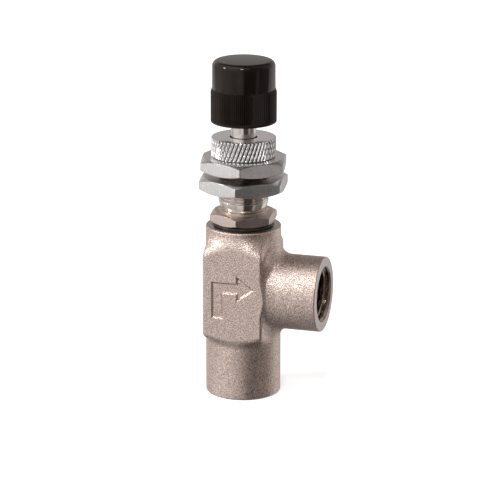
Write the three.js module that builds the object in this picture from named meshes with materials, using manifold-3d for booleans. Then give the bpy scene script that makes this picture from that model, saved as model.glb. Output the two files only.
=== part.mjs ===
// Right-angle flow control valve for air, with Rc 1/4 ports and a panel-mounting neck.
// Millimetres, +Z up. The origin is the centre of the inlet port's face, on the stem's axis.
// The outlet port points along +X, and the pad on the forged block faces -Y.
// The stem is shown three millimetres above its closed position.

import * as THREE from 'three';
import { mergeVertices } from 'three/addons/utils/BufferGeometryUtils.js';
import Module from 'manifold-3d';

const wasm = await Module();
wasm.setup();

// ---- driving dimensions ----------------------------------------------------------------

const ROUND = 40; // facets round a large turned piece
const FINE = 28; // facets round a small turned piece
const CLEARANCE = 0.1; // radial gap between pieces that are screwed or pressed together
const RUNNING = 0.06; // radial gap between pieces that turn or slide in each other
const CONTACT = 0.05; // gap left where two faces rest on each other

// Forged body
const BOSS_RADIUS = 9;
const BODY_HEIGHT = 41.5;
const EDGE = 0.5; // chamfer on the end faces of the bosses
const PORT_AXIS = 25.75; // height of the outlet's axis
const PORT_FACE = 20; // distance of the outlet's face from the stem's axis
const BLOCK_HALF_WIDTH = 7.4;
const BLOCK_HALF_DEPTH = 9.7;
const BLOCK_BOTTOM = 14.2;
const BLOCK_TOP = 38;
const BLOCK_BEVEL = 1.5;
const BLOCK_BEVEL_IN = 0.7;
const BLOCK_CORNER = 0.9;

// Tapped ports: the minor diameter of Rc 1/4, tapering one in sixteen
const PORT_MINOR = 5.72;
const PORT_MOUTH = 6.6;
const PORT_DEPTH = 12;
const OUTLET_DEPTH = 10.4;
const PORT_TAPER = 1 / 32;

// Passages and chambers in the body
const INLET_PASSAGE = 3.8;
const SEAT_BORE = 5.1;
const SEAT_BORE_BOTTOM = 15.3;
const CHAMBER = 5.9;
const CHAMBER_BOTTOM = 17.5;
const OUTLET_PASSAGE = 4;
const BONNET_BORE = 6.4;
const BONNET_BORE_BOTTOM = 31;

// Check valve
const SEAT_TOP = 17.9;
const SEAT_INNER = 3.7;
const SEAL_THICKNESS = 0.65;
const SEAL_OUTER = 5.2;
const SPIGOT_RADIUS = 3.4;
const FLANGE_THICKNESS = 1.5;
const HUB_RADIUS = 2.9;
const HUB_TOP = 25;
const ORIFICE = 1.75;
const METERING_CHAMBER = 2.3;
const CROSS_HOLE = 0.9;
const SPRING_RADIUS = 4.1; // to the middle of the wire
const SPRING_WIRE = 0.7;
const SPRING_TURNS = 5.5;

// Bonnet
const BONNET_NOSE = 31.2;
const STOP_BOTTOM = 31.7;
const STOP_RECESS = 5;
const STOP_INNER = 2.2;
const SEAL_BORE_BOTTOM = 33;
const SEAL_BORE = 3.96;
const SEAL_BORE_TOP = 44.5;
const GLAND_BOTTOM = 42.2;
const GLAND_TOP = 45.1;
const GLAND_FLATS = 14.5;
const GLAND_TURN = 33.2; // degrees from +X to a corner, as with the nuts
const GASKET_RADIUS = 7.2;
const UNDERCUT = 5.55;
const NECK_THREAD_BOTTOM = 47.5;
const NECK_RADIUS = 5.98; // M12 x 0.75
const NECK_TOP = 61.5;
const STEM_THREAD_BORE_TOP = 56.6;
const BUSH_BORE = 4.6;
const BUSH_BORE_BOTTOM = 57.5;

// Stem and needle
const STEM_RADIUS = 3;
const STEM_TOP = 78;
const STEM_BOTTOM = 36;
const STEM_SEAL_TOP = 42.9;
const GROOVE_BOTTOM = 38;
const GROOVE_TOP = 40.4;
const GROOVE_RADIUS = 2.85;
const STEM_THREAD_BOTTOM = 45.5;
const STEM_THREAD_TOP = 55;
const STEM_THREAD_RADIUS = 3.4; // M7 x 0.75
const STEM_FLAT = 2.6; // distance of the flat from the axis
const NEEDLE_RADIUS = 1.66;
const NEEDLE_TIP_RADIUS = 0.3;
const NEEDLE_TIP = 15.1;
const NEEDLE_TAPER_TOP = 20.6;
const NEEDLE_TOP = 40;

// Panel nuts and lock ring
const NUT_FLATS = 19.5;
const LOWER_NUT = { bottom: 50.2, top: 53.6, turn: 36.1 };
const UPPER_NUT = { bottom: 54.95, top: 58.3, turn: 41.5 };
const NUT_CHAMFER = 0.75;
const RING_RADIUS = 7.7;
const RING_BOTTOM = 58.4;
const RING_TOP = 63;
const RING_WEB_BOTTOM = 61.7;
const RING_HOLE = 3.4;

// Knob
const KNOB_BOTTOM = 66.65;
const KNOB_STEP = 74.5;
const KNOB_TOP = 81.6;
const SKIRT_RADIUS = 7.8;
const CAP_RADIUS = 7.5;
const CAP_TOP_RADIUS = 7.44;
const CAP_ROUNDING = 0.9;
const KNOB_RECESS = 5.8;
const KNOB_RECESS_TOP = 69;
const INSERT_RADIUS = 4.6;
const INSERT_BOTTOM = 67.6;
const INSERT_TOP = 78.8;
const SCREW_RADIUS = 1.42;
const SCREW_INNER = 2.7;
const SCREW_OUTER = 6.6;
const SCREW_HEIGHT = 71;
const SCREW_ANGLE = 120; // degrees from +X, at the back
const SCREW_KEY = 0.85;
const SCREW_KEY_DEPTH = 1.6;

// ---- materials -------------------------------------------------------------------------

function material(color, roughness, metalness) {
  return new THREE.MeshStandardMaterial({ color, roughness, metalness });
}

const blastedNickel = () => material(0xb5a79d, 0.42, 1);
const turnedNickel = () => material(0xbfae9e, 0.25, 1);
const chrome = () => material(0xd0cfce, 0.12, 1);
const stainless = () => material(0xb2aeac, 0.25, 1);
const brass = () => material(0xb9924a, 0.3, 1);
const blackPlastic = () => material(0x1c1715, 0.3, 0);
const rubber = () => material(0x161616, 0.7, 0);
const whitePlastic = () => material(0xe6e4dc, 0.5, 0);
const springSteel = () => material(0x9a9a9c, 0.3, 1);

// ---- solids ----------------------------------------------------------------------------

// A closed geometry becomes a manifold solid: its shared vertices are merged, and the
// triangles that collapse on the axis of a turned shape are dropped.
function solid(geometry) {
  const bare = geometry.clone();
  bare.deleteAttribute('normal');
  bare.deleteAttribute('uv');
  const merged = mergeVertices(bare, 1e-5);
  const index = merged.index.array;
  const kept = [];
  for (let i = 0; i < index.length; i += 3) {
    const [a, b, c] = index.subarray(i, i + 3);
    if (a !== b && b !== c && c !== a) {
      kept.push(a, b, c);
    }
  }
  return new wasm.Manifold(new wasm.Mesh({
    numProp: 3,
    vertProperties: new Float32Array(merged.attributes.position.array),
    triVerts: new Uint32Array(kept),
  }));
}

function toGeometry(shape) {
  const mesh = shape.getMesh();
  const geometry = new THREE.BufferGeometry();
  geometry.setAttribute('position', new THREE.BufferAttribute(mesh.vertProperties, 3));
  geometry.setIndex(new THREE.BufferAttribute(mesh.triVerts, 1));
  geometry.computeVertexNormals();
  return geometry;
}

// A shape turned round +Z. The profile is a list of [radius, height], with the outside
// going up. It starts and ends on the axis, or it is closed on itself here.
function turned(profile, facets = ROUND) {
  const points = profile.map(([radius, height]) => new THREE.Vector2(radius, height));
  const startsOnAxis = profile[0][0] === 0;
  if (!startsOnAxis) {
    points.push(points[0].clone());
  }
  const geometry = new THREE.LatheGeometry(points, facets);
  geometry.rotateX(Math.PI / 2);
  return solid(geometry);
}

function turnedRing(inner, outer, bottom, top, facets = ROUND) {
  return turned([[inner, bottom], [outer, bottom], [outer, top], [inner, top]], facets);
}

function turnedRod(radius, bottom, top, facets = ROUND) {
  return turned([[0, bottom], [radius, bottom], [radius, top], [0, top]], facets);
}

// A shape turned round +Z, laid along a level direction at a height: its own height
// becomes the distance from the stem's axis.
function layLevel(shape, degrees, height) {
  const lay = new THREE.Matrix4().makeRotationY(Math.PI / 2);
  const turn = new THREE.Matrix4().makeRotationZ(THREE.MathUtils.degToRad(degrees));
  const raise = new THREE.Matrix4().makeTranslation(0, 0, height);
  return shape.transform(raise.multiply(turn).multiply(lay).elements);
}

function hexagon(acrossFlats, bottom, top, cornerDegrees) {
  const cornerRadius = acrossFlats / 2 / Math.cos(Math.PI / 6);
  const geometry = new THREE.CylinderGeometry(cornerRadius, cornerRadius, top - bottom, 6);
  geometry.rotateX(Math.PI / 2);
  // CylinderGeometry puts its first corner on +Z, which the turn above leaves on -Y
  geometry.rotateZ(THREE.MathUtils.degToRad(cornerDegrees + 90));
  geometry.translate(0, 0, (top + bottom) / 2);
  return solid(geometry);
}

// Both end faces of a hexagon are turned down to its flats.
function chamferedHexagon(acrossFlats, bottom, top, cornerDegrees, lowerChamfer, upperChamfer) {
  const flat = acrossFlats / 2;
  const corner = flat / Math.cos(Math.PI / 6) + EDGE;
  const cone = turned([
    [0, bottom],
    [flat - lowerChamfer / 4, bottom],
    [corner, bottom + lowerChamfer * 1.4],
    [corner, top - upperChamfer * 1.4],
    [flat - upperChamfer / 4, top],
    [0, top],
  ]);
  return hexagon(acrossFlats, bottom, top, cornerDegrees).intersect(cone);
}

// ---- the forged body -------------------------------------------------------------------

// An upright or level boss with chamfered ends.
function boss(length) {
  return turned([
    [0, 0],
    [BOSS_RADIUS, 0],
    [BOSS_RADIUS, length - EDGE],
    [BOSS_RADIUS - EDGE, length],
    [0, length],
  ]);
}

// The block that carries the flat pads: a rounded rectangle with bevelled ends.
function padBlock() {
  const halfWidth = BLOCK_HALF_WIDTH - BLOCK_BEVEL_IN;
  const halfDepth = BLOCK_HALF_DEPTH - BLOCK_BEVEL_IN;
  const corner = BLOCK_CORNER;
  const outline = new THREE.Shape();
  outline.absarc(halfWidth - corner, halfDepth - corner, corner, 0, Math.PI / 2);
  outline.absarc(corner - halfWidth, halfDepth - corner, corner, Math.PI / 2, Math.PI);
  outline.absarc(corner - halfWidth, corner - halfDepth, corner, Math.PI, 1.5 * Math.PI);
  outline.absarc(halfWidth - corner, corner - halfDepth, corner, 1.5 * Math.PI, 2 * Math.PI);
  const geometry = new THREE.ExtrudeGeometry(outline, {
    depth: BLOCK_TOP - BLOCK_BOTTOM - 2 * BLOCK_BEVEL,
    curveSegments: 3,
    bevelThickness: BLOCK_BEVEL,
    bevelSize: BLOCK_BEVEL_IN,
    bevelSegments: 2,
  });
  geometry.translate(0, 0, BLOCK_BOTTOM + BLOCK_BEVEL);
  return solid(geometry);
}

// The tapered hole of a tapped port, from its mouth at zero to its depth.
function portHole(depth) {
  const mouthChamfer = PORT_MOUTH - PORT_MINOR;
  return turned([
    [0, -1],
    [PORT_MOUTH, -1],
    [PORT_MOUTH, 0],
    [PORT_MINOR, mouthChamfer],
    [PORT_MINOR - depth * PORT_TAPER, depth],
    [0, depth],
  ]);
}

function valveBody() {
  const upright = boss(BODY_HEIGHT).subtract(
    turned([
      [BOSS_RADIUS - EDGE, -1],
      [BOSS_RADIUS + 1, -1],
      [BOSS_RADIUS + 1, EDGE],
      [BOSS_RADIUS, EDGE],
      [BOSS_RADIUS - EDGE, 0],
    ]),
  );
  const barrel = layLevel(boss(PORT_FACE), 0, PORT_AXIS);
  const stemSide = turned([
    [0, PORT_DEPTH - 1],
    [INLET_PASSAGE, PORT_DEPTH - 1],
    [INLET_PASSAGE, SEAT_BORE_BOTTOM],
    [SEAT_BORE, SEAT_BORE_BOTTOM],
    [SEAT_BORE, CHAMBER_BOTTOM],
    [CHAMBER, CHAMBER_BOTTOM],
    [CHAMBER, BONNET_BORE_BOTTOM],
    [BONNET_BORE, BONNET_BORE_BOTTOM],
    [BONNET_BORE, BODY_HEIGHT + 1],
    [0, BODY_HEIGHT + 1],
  ]);
  const outletPassage = layLevel(turnedRod(OUTLET_PASSAGE, 0, PORT_FACE - 1), 0, PORT_AXIS);
  // the outlet's hole runs inward from the outlet's face
  const outletHole = layLevel(portHole(OUTLET_DEPTH), 180, PORT_AXIS).translate([PORT_FACE, 0, 0]);
  return upright
    .add(barrel)
    .add(padBlock())
    .subtract(portHole(PORT_DEPTH))
    .subtract(stemSide)
    .subtract(outletPassage)
    .subtract(outletHole);
}

function seatRing() {
  return turned([
    [SEAT_INNER, SEAT_BORE_BOTTOM + CONTACT],
    [SEAT_BORE - CLEARANCE, SEAT_BORE_BOTTOM + CONTACT],
    [SEAT_BORE - CLEARANCE, SEAT_TOP - 0.3],
    [SEAT_BORE - CLEARANCE - 0.3, SEAT_TOP],
    [SEAT_INNER + 0.2, SEAT_TOP],
    [SEAT_INNER, SEAT_TOP - 0.2],
  ], FINE);
}

// ---- the check valve -------------------------------------------------------------------

const SEAL_BOTTOM = SEAT_TOP + CONTACT;
const FLANGE_BOTTOM = SEAL_BOTTOM + SEAL_THICKNESS + CONTACT;
const FLANGE_TOP = FLANGE_BOTTOM + FLANGE_THICKNESS;

// The poppet's hollow hub slides on the needle's shank at its top. Air that is metered
// through the orifice at its foot leaves by the cross holes.
function checkPoppet() {
  const spigotBottom = SEAT_TOP - 0.9;
  const orificeTop = spigotBottom + FLANGE_THICKNESS;
  const guideBottom = HUB_TOP - 2;
  const hub = turned([
    [ORIFICE, spigotBottom],
    [SPIGOT_RADIUS, spigotBottom],
    [SPIGOT_RADIUS, FLANGE_BOTTOM],
    [SEAL_OUTER, FLANGE_BOTTOM],
    [SEAL_OUTER, FLANGE_TOP],
    [HUB_RADIUS, FLANGE_TOP],
    [HUB_RADIUS, HUB_TOP],
    [ORIFICE, HUB_TOP],
    [ORIFICE, guideBottom],
    [METERING_CHAMBER, guideBottom - 0.5],
    [METERING_CHAMBER, orificeTop + 0.5],
    [ORIFICE, orificeTop],
  ], FINE);
  const crossHole = turnedRod(CROSS_HOLE, -SEAL_OUTER, SEAL_OUTER, 12);
  const crossHeight = FLANGE_TOP + CROSS_HOLE + 0.3;
  return hub
    .subtract(layLevel(crossHole, 0, crossHeight))
    .subtract(layLevel(crossHole, 90, crossHeight));
}

function poppetSeal() {
  return turnedRing(
    SPIGOT_RADIUS + CLEARANCE,
    SEAL_OUTER,
    SEAL_BOTTOM,
    SEAL_BOTTOM + SEAL_THICKNESS,
    FINE,
  );
}

class Helix extends THREE.Curve {
  constructor(radius, bottom, top, turns) {
    super();
    Object.assign(this, { radius, bottom, top, turns });
  }

  getPoint(t, target = new THREE.Vector3()) {
    const angle = 2 * Math.PI * this.turns * t;
    const height = THREE.MathUtils.lerp(this.bottom, this.top, t);
    return target.set(this.radius * Math.cos(angle), this.radius * Math.sin(angle), height);
  }
}

function checkSpring() {
  const half = SPRING_WIRE / 2;
  const wire = new THREE.Shape();
  wire.absarc(0, 0, half, 0, 2 * Math.PI);
  const path = new Helix(
    SPRING_RADIUS,
    FLANGE_TOP + half + CONTACT,
    STOP_BOTTOM - half - CONTACT,
    SPRING_TURNS,
  );
  const geometry = new THREE.ExtrudeGeometry(wire, {
    steps: SPRING_TURNS * 14,
    curveSegments: 4,
    bevelEnabled: false,
    extrudePath: path,
  });
  return solid(geometry);
}

// ---- the bonnet and what it holds ------------------------------------------------------

function bonnet() {
  const lowerThread = BONNET_BORE - CLEARANCE;
  const outside = turned([
    [0, BONNET_NOSE],
    [lowerThread - EDGE, BONNET_NOSE],
    [lowerThread, BONNET_NOSE + EDGE],
    [lowerThread, GLAND_BOTTOM + 1],
    [UNDERCUT, GLAND_BOTTOM + 1],
    [UNDERCUT, NECK_THREAD_BOTTOM],
    [NECK_RADIUS, NECK_THREAD_BOTTOM + 0.4],
    [NECK_RADIUS, NECK_TOP - EDGE],
    [NECK_RADIUS - EDGE, NECK_TOP],
    [0, NECK_TOP],
  ]);
  const threadBore = STEM_THREAD_RADIUS + RUNNING + 0.01;
  const inside = turned([
    [0, BONNET_NOSE - 1],
    [STOP_RECESS, BONNET_NOSE - 1],
    [STOP_RECESS, SEAL_BORE_BOTTOM],
    [SEAL_BORE, SEAL_BORE_BOTTOM],
    [SEAL_BORE, SEAL_BORE_TOP],
    [threadBore, SEAL_BORE_TOP],
    [threadBore, STEM_THREAD_BORE_TOP],
    [STEM_RADIUS + CLEARANCE, STEM_THREAD_BORE_TOP],
    [STEM_RADIUS + CLEARANCE, BUSH_BORE_BOTTOM],
    [BUSH_BORE, BUSH_BORE_BOTTOM],
    [BUSH_BORE, NECK_TOP + 1],
    [0, NECK_TOP + 1],
  ]);
  return chamferedHexagon(GLAND_FLATS, GLAND_BOTTOM, GLAND_TOP, GLAND_TURN, NUT_CHAMFER, NUT_CHAMFER)
    .add(outside)
    .subtract(inside);
}

function bonnetGasket() {
  const gap = 0.03;
  return turnedRing(BONNET_BORE, GASKET_RADIUS, BODY_HEIGHT + gap, GLAND_BOTTOM - gap);
}

function stopRing() {
  return turnedRing(
    STOP_INNER,
    STOP_RECESS - CLEARANCE,
    STOP_BOTTOM,
    SEAL_BORE_BOTTOM - CLEARANCE,
    FINE,
  );
}

function stemWiper() {
  const wiperTop = BUSH_BORE_BOTTOM + 1.4;
  return turnedRing(
    STEM_RADIUS + RUNNING,
    BUSH_BORE - CLEARANCE,
    BUSH_BORE_BOTTOM + CONTACT,
    wiperTop,
    FINE,
  );
}

function lockBush() {
  const bottom = BUSH_BORE_BOTTOM + 1.6;
  const top = RING_WEB_BOTTOM - CONTACT;
  return turned([
    [STEM_RADIUS + CLEARANCE, bottom],
    [BUSH_BORE - CLEARANCE, bottom],
    [BUSH_BORE - CLEARANCE, NECK_TOP - 1],
    [BUSH_BORE - 0.6, top],
    [STEM_RADIUS + CLEARANCE, top],
  ], FINE);
}

// ---- panel nuts and lock ring ----------------------------------------------------------

function panelNut({ bottom, top, turn }) {
  return chamferedHexagon(NUT_FLATS, bottom, top, turn, NUT_CHAMFER, NUT_CHAMFER)
    .subtract(turnedRod(NECK_RADIUS + CLEARANCE, bottom - 1, top + 1));
}

function lockRing() {
  const edge = 0.35;
  return turned([
    [NECK_RADIUS + CLEARANCE, RING_BOTTOM],
    [RING_RADIUS - 2 * edge, RING_BOTTOM],
    [RING_RADIUS, RING_BOTTOM + edge],
    [RING_RADIUS, RING_TOP - edge],
    [RING_RADIUS - edge, RING_TOP],
    [RING_HOLE + edge, RING_TOP],
    [RING_HOLE, RING_TOP - edge],
    [RING_HOLE, RING_WEB_BOTTOM],
    [NECK_RADIUS + CLEARANCE, RING_WEB_BOTTOM],
  ]);
}

// ---- stem, needle and knob -------------------------------------------------------------

function stem() {
  const seal = SEAL_BORE - RUNNING;
  const outside = turned([
    [0, STEM_BOTTOM],
    [seal - 0.3, STEM_BOTTOM],
    [seal, STEM_BOTTOM + 0.3],
    [seal, GROOVE_BOTTOM],
    [GROOVE_RADIUS, GROOVE_BOTTOM],
    [GROOVE_RADIUS, GROOVE_TOP],
    [seal, GROOVE_TOP],
    [seal, STEM_SEAL_TOP],
    [STEM_RADIUS, STEM_SEAL_TOP],
    [STEM_RADIUS, STEM_THREAD_BOTTOM],
    [STEM_THREAD_RADIUS, STEM_THREAD_BOTTOM + 0.4],
    [STEM_THREAD_RADIUS, STEM_THREAD_TOP],
    [STEM_RADIUS, STEM_THREAD_TOP],
    [STEM_RADIUS, STEM_TOP - EDGE],
    [STEM_RADIUS - EDGE, STEM_TOP],
    [0, STEM_TOP],
  ], FINE);
  const needleSocket = turnedRod(NEEDLE_RADIUS + RUNNING, STEM_BOTTOM - 1, NEEDLE_TOP + RUNNING, FINE);
  const flatTool = new THREE.BoxGeometry(2, 2 * STEM_RADIUS, STEM_TOP - KNOB_RECESS_TOP + 1);
  flatTool.translate(STEM_FLAT + 1, 0, (STEM_TOP + 1 + KNOB_RECESS_TOP) / 2);
  flatTool.rotateZ(THREE.MathUtils.degToRad(SCREW_ANGLE));
  return outside.subtract(needleSocket).subtract(solid(flatTool));
}

function needleTip() {
  return turned([
    [0, NEEDLE_TIP],
    [NEEDLE_TIP_RADIUS, NEEDLE_TIP],
    [NEEDLE_RADIUS, NEEDLE_TAPER_TOP],
    [NEEDLE_RADIUS, NEEDLE_TOP],
    [0, NEEDLE_TOP],
  ], FINE);
}

// The O-ring and its backup ring fill the stem's groove and go up and down with it.
function stemORing() {
  const inner = GROOVE_RADIUS + RUNNING;
  const outer = SEAL_BORE - 0.03;
  const cord = (outer - inner) / 2;
  const middle = (outer + inner) / 2;
  const height = GROOVE_BOTTOM + cord + 0.2;
  const sides = 10;
  const section = [];
  for (let side = 0; side < sides; side += 1) {
    const angle = 2 * Math.PI * side / sides;
    section.push([middle + cord * Math.cos(angle), height + cord * Math.sin(angle)]);
  }
  return turned(section, FINE);
}

function stemBackupRing() {
  return turnedRing(
    GROOVE_RADIUS + RUNNING,
    SEAL_BORE - 0.03,
    GROOVE_TOP - 0.9,
    GROOVE_TOP - CLEARANCE,
    FINE,
  );
}

function screwBore(radius, from, to) {
  return layLevel(turnedRod(radius, from, to, 20), SCREW_ANGLE, SCREW_HEIGHT);
}

function knob() {
  const pocketTop = INSERT_TOP + CLEARANCE;
  const pocket = INSERT_RADIUS + CLEARANCE;
  const profile = [
    [0, KNOB_RECESS_TOP],
    [KNOB_RECESS, KNOB_RECESS_TOP],
    [KNOB_RECESS, KNOB_BOTTOM],
    [SKIRT_RADIUS - 0.4, KNOB_BOTTOM],
    [SKIRT_RADIUS, KNOB_BOTTOM + 0.4],
    [SKIRT_RADIUS, KNOB_STEP],
    [CAP_RADIUS, KNOB_STEP],
  ];
  const steps = 4;
  for (let step = 0; step <= steps; step += 1) {
    const angle = Math.PI / 2 * step / steps;
    profile.push([
      CAP_TOP_RADIUS - CAP_ROUNDING * (1 - Math.cos(angle)),
      KNOB_TOP - CAP_ROUNDING * (1 - Math.sin(angle)),
    ]);
  }
  profile.push([0, KNOB_TOP]);
  return turned(profile)
    .subtract(turnedRod(pocket, KNOB_BOTTOM - 1, pocketTop))
    .subtract(screwBore(SCREW_RADIUS + CLEARANCE, SCREW_INNER, SKIRT_RADIUS + 1));
}

function knobInsert() {
  return turnedRing(STEM_RADIUS + CLEARANCE, INSERT_RADIUS, INSERT_BOTTOM, INSERT_TOP, FINE)
    .subtract(screwBore(SCREW_RADIUS + CLEARANCE, 0, INSERT_RADIUS + 1));
}

function knobSetScrew() {
  const key = hexagon(2 * SCREW_KEY, SCREW_OUTER - SCREW_KEY_DEPTH, SCREW_OUTER + 1, 0);
  const screw = turned([
    [0, SCREW_INNER],
    [SCREW_RADIUS - 0.4, SCREW_INNER],
    [SCREW_RADIUS, SCREW_INNER + 0.4],
    [SCREW_RADIUS, SCREW_OUTER],
    [0, SCREW_OUTER],
  ], 20);
  return layLevel(screw.subtract(key), SCREW_ANGLE, SCREW_HEIGHT);
}

// ---- the assembly ----------------------------------------------------------------------

const valve = new THREE.Group();

function addPiece(name, shape, look) {
  const mesh = new THREE.Mesh(toGeometry(shape), look);
  mesh.name = name;
  valve.add(mesh);
}

addPiece('valve_body', valveBody(), blastedNickel());
addPiece('seat_ring', seatRing(), stainless());
addPiece('check_poppet', checkPoppet(), brass());
addPiece('poppet_seal', poppetSeal(), rubber());
addPiece('check_spring', checkSpring(), springSteel());
addPiece('bonnet_gasket', bonnetGasket(), rubber());
addPiece('bonnet', bonnet(), turnedNickel());
addPiece('stop_ring', stopRing(), stainless());
addPiece('stem_wiper', stemWiper(), rubber());
addPiece('lock_bush', lockBush(), whitePlastic());
addPiece('panel_nut_lower', panelNut(LOWER_NUT), chrome());
addPiece('panel_nut_upper', panelNut(UPPER_NUT), chrome());
addPiece('lock_ring', lockRing(), chrome());
addPiece('needle_tip', needleTip(), stainless());
addPiece('stem', stem(), stainless());
addPiece('stem_o_ring', stemORing(), rubber());
addPiece('stem_backup_ring', stemBackupRing(), whitePlastic());
addPiece('knob', knob(), blackPlastic());
addPiece('knob_insert', knobInsert(), brass());
addPiece('knob_set_screw', knobSetScrew(), springSteel());

export default valve;
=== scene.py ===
"""The looks of a right-angle flow control valve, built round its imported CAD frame.

Shapes are worked out in millimetres and made into meshes in metres. +Z is up the stem's axis,
+X is out of the outlet port, and the pad with the flow arrow faces -Y.
"""

import math

import bpy
import numpy as np
import openvdb
from mathutils import Matrix, Quaternion, Vector


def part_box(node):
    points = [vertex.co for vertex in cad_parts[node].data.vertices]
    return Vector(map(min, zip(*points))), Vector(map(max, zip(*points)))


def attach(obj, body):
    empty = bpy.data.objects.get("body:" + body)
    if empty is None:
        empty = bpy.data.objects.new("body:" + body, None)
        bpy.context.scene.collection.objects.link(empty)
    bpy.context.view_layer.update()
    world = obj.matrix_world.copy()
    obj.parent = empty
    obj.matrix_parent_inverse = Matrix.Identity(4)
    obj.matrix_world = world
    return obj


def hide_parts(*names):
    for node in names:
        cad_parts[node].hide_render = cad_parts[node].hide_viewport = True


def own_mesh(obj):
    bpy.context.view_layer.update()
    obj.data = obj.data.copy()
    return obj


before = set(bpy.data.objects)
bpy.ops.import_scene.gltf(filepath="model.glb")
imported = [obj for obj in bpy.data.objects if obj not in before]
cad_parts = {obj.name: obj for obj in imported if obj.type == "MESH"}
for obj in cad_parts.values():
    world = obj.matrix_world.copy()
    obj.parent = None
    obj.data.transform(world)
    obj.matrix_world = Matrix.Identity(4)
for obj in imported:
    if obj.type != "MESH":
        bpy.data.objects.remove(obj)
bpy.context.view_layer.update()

MM = 0.001
TURN = 2 * math.pi
SHARP = 32  # edges that turn by more degrees than this are shaded as sharp


def box_mm(node):
    """A CAD node's lowest and highest corners, in millimetres."""
    low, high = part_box(node)
    return low / MM, high / MM


# ---- driving dimensions, in millimetres --------------------------------------------------

BODY_LOW, BODY_HIGH = box_mm("valve_body")
BOSS_RADIUS = -BODY_LOW.x
BODY_TOP = BODY_HIGH.z
PORT_FACE = BODY_HIGH.x
PORT_AXIS = 25.75
PAD_DEPTH = BODY_HIGH.y
PAD_HALF_WIDTH = 7.4
ROOF_BOTTOM = 14.0
ROOF_TOP = 39.3
FORGING_STEP = 0.18
FACING = 1.0

# The fillet between the shapes of the forging, which grows above and below the side boss.
BLEND = 1.0
BLEND_GROWTH = 1.6
BLEND_START = 5
BLEND_REACH = 3

PIPE_PITCH = 25.4 / 19
PIPE_MAJOR = 6.58
PIPE_DEPTH = 0.8
PIPE_TAPER = 1 / 32
PORT_MOUTH = 6.72
INLET_DEPTH = 12.0
OUTLET_DEPTH = 10.4

NECK_PITCH = 0.75
NECK_RADIUS = 5.98
NECK_THREAD_DEPTH = 0.42
STEM_RADIUS = 3.0


# ---- sections and swept shapes -----------------------------------------------------------

def unit(vector):
    return vector / np.linalg.norm(vector)


def rounded(corners, steps=4):
    """A line through corner points (radius, height, rounding), with each rounding as an arc."""
    points = []
    for index, (radius, height, rounding) in enumerate(corners):
        here = np.array([radius, height], float)
        if rounding <= 0:
            points.append(here)
            continue
        before = np.array(corners[index - 1][:2], float)
        after = np.array(corners[(index + 1) % len(corners)][:2], float)
        back, ahead = unit(before - here), unit(after - here)
        half = 0.5 * math.acos(np.clip(back @ ahead, -1, 1))
        centre = here + unit(back + ahead) * rounding / math.sin(half)
        first = here + back * rounding / math.tan(half) - centre
        last = here + ahead * rounding / math.tan(half) - centre
        sweep = math.atan2(first[0] * last[1] - first[1] * last[0], first @ last)
        for step in range(steps + 1):
            angle = sweep * step / steps
            turn = np.array([[math.cos(angle), -math.sin(angle)], [math.sin(angle), math.cos(angle)]])
            points.append(centre + turn @ first)
    return np.array(points)


def even_angles(count):
    return np.arange(count) * TURN / count


def make_mesh(name, vertices, faces, sharp=SHARP):
    mesh = bpy.data.meshes.new(name)
    mesh.from_pydata((np.asarray(vertices) * MM).tolist(), [], faces)
    mesh.update()
    mesh.shade_smooth()
    mesh.set_sharp_from_angle(angle=math.radians(sharp))
    piece = bpy.data.objects.new(name, mesh)
    bpy.context.scene.collection.objects.link(piece)
    return piece


def swept(name, section_at, angles, sharp=SHARP, low_diagonal=False):
    """A turned shape whose section may change with the angle.

    A section is a list of (radius, height) with the outside going up. It closes on itself,
    or it starts and ends on the axis. low_diagonal splits each quad along its lower diagonal,
    which keeps the grooves of a knurl straight.
    """
    sections = np.array([section_at(angle) for angle in angles])
    on_axis = bool(abs(sections[0, 0, 0]) < 1e-9)
    body = sections[:, 1:-1] if on_axis else sections
    turns, count = body.shape[:2]
    cos, sin = np.cos(angles)[:, None], np.sin(angles)[:, None]
    points = np.stack([body[..., 0] * cos, body[..., 0] * sin, body[..., 1]], axis=-1)
    vertices = points.reshape(-1, 3)
    ids = np.arange(turns * count).reshape(turns, count)
    beyond = np.roll(ids, -1, axis=0)
    if on_axis:
        here, ahead = ids[:, :-1], ids[:, 1:]
        there, far = beyond[:, :-1], beyond[:, 1:]
    else:
        here, ahead = ids, np.roll(ids, -1, axis=1)
        there, far = beyond, np.roll(beyond, -1, axis=1)
    quads = np.stack([here, there, far, ahead], axis=-1).reshape(-1, 4)
    faces = quads.tolist()
    if low_diagonal:
        faces = split_low(quads, vertices)
    if on_axis:
        low, high = turns * count, turns * count + 1
        ends = [[0, 0, sections[0, 0, 1]], [0, 0, sections[0, -1, 1]]]
        vertices = np.vstack([vertices, ends])
        for turn in range(turns):
            after = (turn + 1) % turns
            faces.append([low, int(ids[after, 0]), int(ids[turn, 0])])
            faces.append([high, int(ids[turn, -1]), int(ids[after, -1])])
    return make_mesh(name, vertices, faces, sharp)


def split_low(quads, vertices):
    radius = np.hypot(vertices[:, 0], vertices[:, 1])
    first = radius[quads[:, 0]] + radius[quads[:, 2]]
    second = radius[quads[:, 1]] + radius[quads[:, 3]]
    along = quads[first <= second]
    across = quads[first > second]
    parts = [along[:, [0, 1, 2]], along[:, [0, 2, 3]], across[:, [0, 1, 3]], across[:, [1, 2, 3]]]
    return np.vstack(parts).tolist()


def turned(name, corners, facets=96):
    """A plain turned shape from corner points (radius, height, rounding)."""
    section = rounded(corners)
    return swept(name, lambda angle: section, even_angles(facets))


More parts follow.
